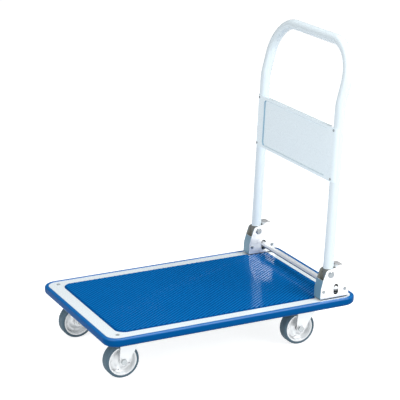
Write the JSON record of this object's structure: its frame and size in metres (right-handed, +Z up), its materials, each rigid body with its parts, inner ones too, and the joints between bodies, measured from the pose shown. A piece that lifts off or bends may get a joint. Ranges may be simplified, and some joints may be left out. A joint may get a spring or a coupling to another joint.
{
  "type": "folding platform cart",
  "caption": "Flat-deck hand cart on casters with a ribbed mat, a corner-to-corner bumper and a tall tube handle that folds down onto the deck when a foot bar is pressed.",
  "frame": {"origin": "on the floor under the middle of the deck, which is the bottom centre of the whole cart", "axes": "+X towards the handle end, +Y to the left of someone who faces the handle from the front, seen as the far side in the picture, +Z up"},
  "size_m": [0.74, 0.48, 0.8384],
  "materials": {
    "white_paint": "gloss white enamel",
    "blue_mat": "ribbed matt vinyl",
    "blue_bumper": "satin soft vinyl",
    "grey_paint": "satin paint",
    "zinc": "bright zinc plate",
    "chrome": "bright chrome plate",
    "spring_steel": "plain spring steel",
    "black_plastic": "moulded, satin",
    "tyre": "grey solid rubber"
  },
  "bodies": {
    "deck": {"axle_bolts_front": "zinc", "axle_nuts_front": "zinc", "bracket_rivets": "zinc", "bumper": "blue_bumper", "caster_bolts": "zinc", "caster_nuts": "zinc", "caster_plate_front_left": "zinc", "caster_plate_front_right": "zinc", "caster_plate_rear_left": "zinc", "caster_plate_rear_right": "zinc", "corner_rivets": "zinc", "deck_mat": "blue_mat", "deck_pan": "white_paint", "fork_front_left": "zinc", "fork_front_right": "zinc", "fork_rivets": "zinc", "front_member": "grey_paint", "hinge_bracket_left": "chrome", "hinge_bracket_right": "chrome", "hinge_saddle_left": "zinc", "hinge_saddle_right": "zinc", "kingpins": "zinc", "lock_spring_left": "spring_steel", "lock_spring_right": "spring_steel", "pivot_pins": "chrome", "rear_member": "grey_paint", "saddle_rivets": "zinc"},
    "handle": {"handle_tube": "white_paint", "handle_panel": "white_paint", "panel_rivets": "zinc", "pivot_bush_left": "black_plastic", "pivot_bush_right": "black_plastic", "foot_plug_left": "black_plastic", "foot_plug_right": "black_plastic"},
    "lock": {"lock_bar": "chrome", "lock_bar_clips": "spring_steel"},
    "swivel_left": {"fork_rear_left": "zinc", "swivel_balls_rear_left": "zinc", "axle_bolt_rear_left": "zinc", "axle_nut_rear_left": "zinc"},
    "swivel_right": {"fork_rear_right": "zinc", "swivel_balls_rear_right": "zinc", "axle_bolt_rear_right": "zinc", "axle_nut_rear_right": "zinc"},
    "wheel_front_left": {"tyre_front_left": "tyre", "rim_outer_front_left": "zinc", "rim_inner_front_left": "zinc", "hub_bush_front_left": "black_plastic"},
    "wheel_front_right": {"tyre_front_right": "tyre", "rim_outer_front_right": "zinc", "rim_inner_front_right": "zinc", "hub_bush_front_right": "black_plastic"},
    "wheel_rear_left": {"tyre_rear_left": "tyre", "rim_outer_rear_left": "zinc", "rim_inner_rear_left": "zinc", "hub_bush_rear_left": "black_plastic"},
    "wheel_rear_right": {"tyre_rear_right": "tyre", "rim_outer_rear_right": "zinc", "rim_inner_rear_right": "zinc", "hub_bush_rear_right": "black_plastic"}
  },
  "joints": [
    {"name": "handle_fold", "type": "hinge", "parent": "deck", "child": "handle", "pos_m": [0.2885, 0, 0.208], "axis": [0, -1, 0], "range_deg": [0, 93]},
    {"name": "lock_press", "type": "slide", "parent": "deck", "child": "lock", "axis": [0, 0, -1], "range_m": [0, 0.009], "stiffness_N_per_m": 2500, "springref_m": -0.006, "deforming": ["lock_spring_left", "lock_spring_right"]},
    {"name": "swivel_left_turn", "type": "hinge", "parent": "deck", "child": "swivel_left", "pos_m": [0.2485, 0.155, 0.114], "axis": [0, 0, 1], "continuous": true},
    {"name": "swivel_right_turn", "type": "hinge", "parent": "deck", "child": "swivel_right", "pos_m": [0.2485, -0.155, 0.114], "axis": [0, 0, 1], "continuous": true},
    {"name": "wheel_front_left_roll", "type": "hinge", "parent": "deck", "child": "wheel_front_left", "pos_m": [-0.3005, 0.155, 0.047], "axis": [0, 1, 0], "continuous": true},
    {"name": "wheel_front_right_roll", "type": "hinge", "parent": "deck", "child": "wheel_front_right", "pos_m": [-0.3005, -0.155, 0.047], "axis": [0, 1, 0], "continuous": true},
    {"name": "wheel_rear_left_roll", "type": "hinge", "parent": "swivel_left", "child": "wheel_rear_left", "pos_m": [0.2245, 0.155, 0.047], "axis": [0, 1, 0], "continuous": true},
    {"name": "wheel_rear_right_roll", "type": "hinge", "parent": "swivel_right", "child": "wheel_rear_right", "pos_m": [0.2245, -0.155, 0.047], "axis": [0, 1, 0], "continuous": true}
  ]
}
